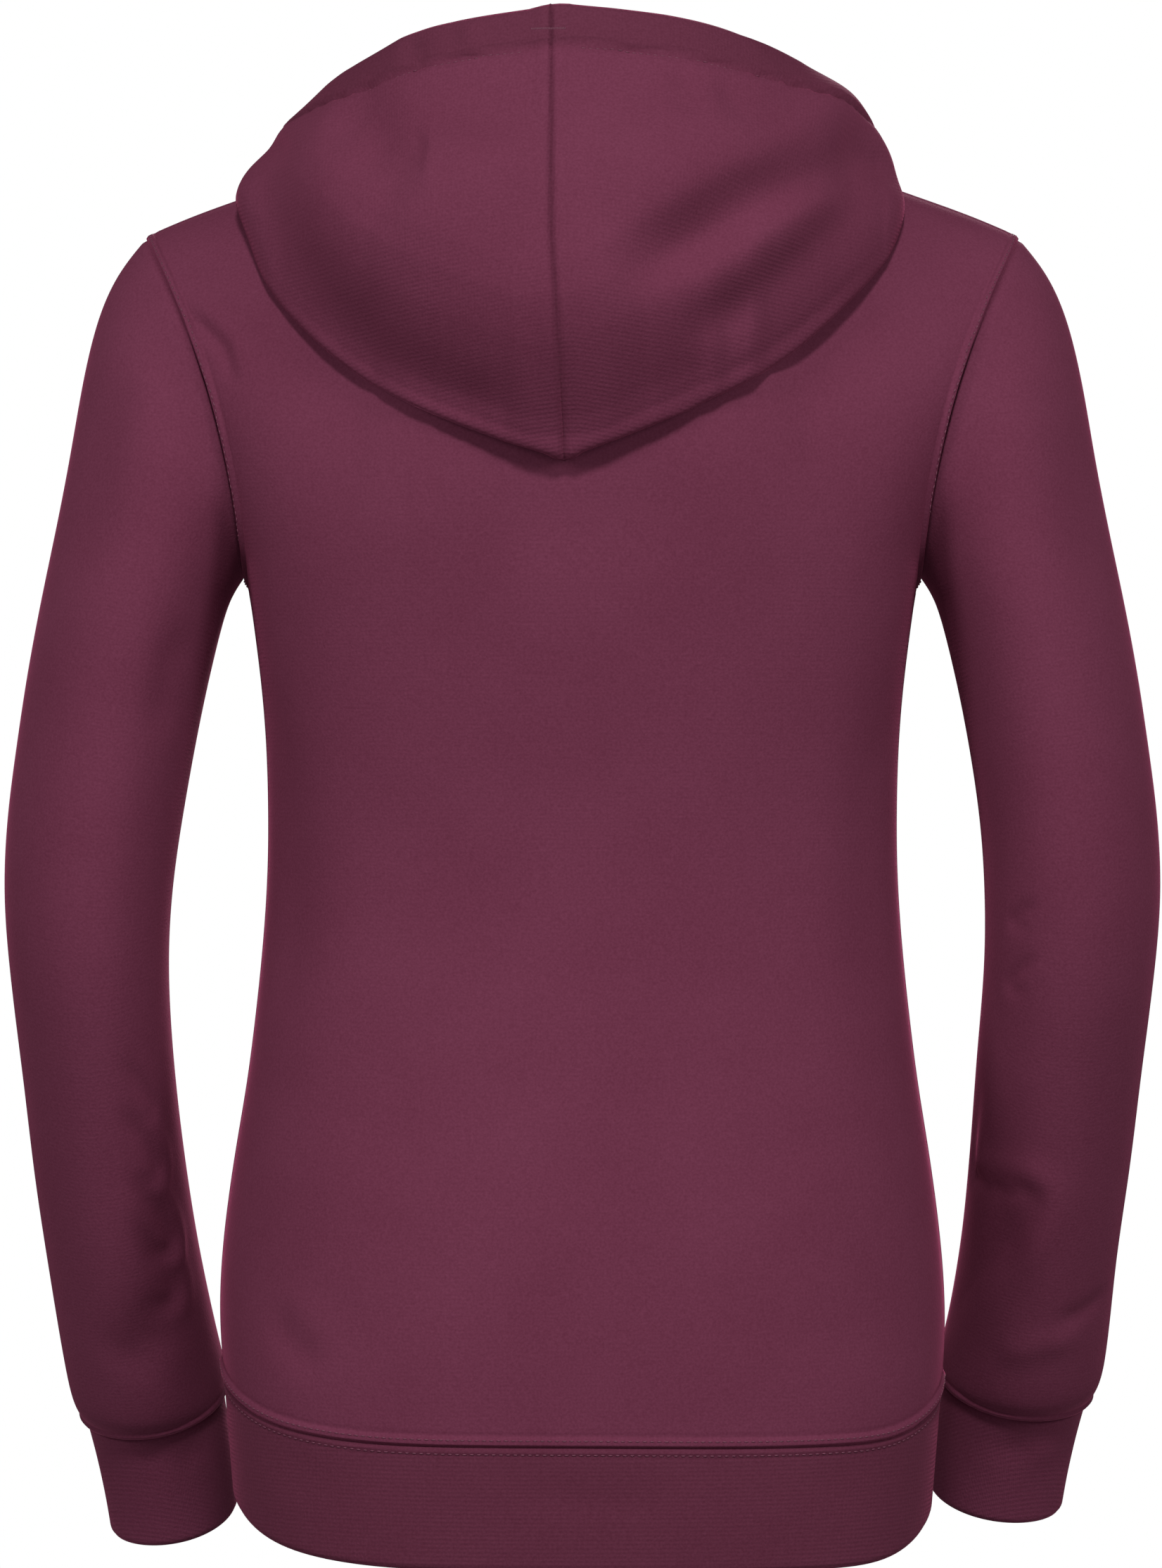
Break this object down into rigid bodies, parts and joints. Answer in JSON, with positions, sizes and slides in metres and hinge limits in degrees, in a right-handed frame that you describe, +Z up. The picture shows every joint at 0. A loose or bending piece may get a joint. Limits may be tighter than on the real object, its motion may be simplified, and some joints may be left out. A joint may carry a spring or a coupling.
{
  "type": "zip-up hooded sweatshirt",
  "caption": "Burgundy fleece hooded sweatshirt, zipped up and filled out as if worn, with the hood lying down the back, plain cuffs and waistband, and a metal front zip.",
  "frame": {"origin": "between the shoulders, level with the tops of the shoulder seams at the neck, where the wearer holds the garment up", "axes": "+Z up, the front with the zip faces -Y, the wearer's left is +X"},
  "size_m": [0.559, 0.2827, 0.7449],
  "materials": {
    "fleece": "burgundy cotton fleece, matt, with fine knit lines",
    "tape_cloth": "burgundy woven zip tape",
    "nickel": "nickel-plated zip, satin"
  },
  "bodies": {
    "garment": {"back": "fleece", "front_left": "fleece", "front_right": "fleece", "sleeve_left": "fleece", "sleeve_right": "fleece", "cuff_left": "fleece", "cuff_right": "fleece", "waistband": "fleece", "hood_left": "fleece", "hood_right": "fleece", "zip_tape_left": "tape_cloth", "zip_tape_right": "tape_cloth", "zip_chain": "nickel", "zip_slider": "nickel"},
    "pull_tab": {"zip_pull": "nickel"}
  },
  "joints": [
    {"name": "pull_hinge", "type": "hinge", "parent": "garment", "child": "pull_tab", "pos_m": [0, -0.09746, -0.09416], "axis": [-1, 0, 0], "range_deg": [0, 150]}
  ]
}
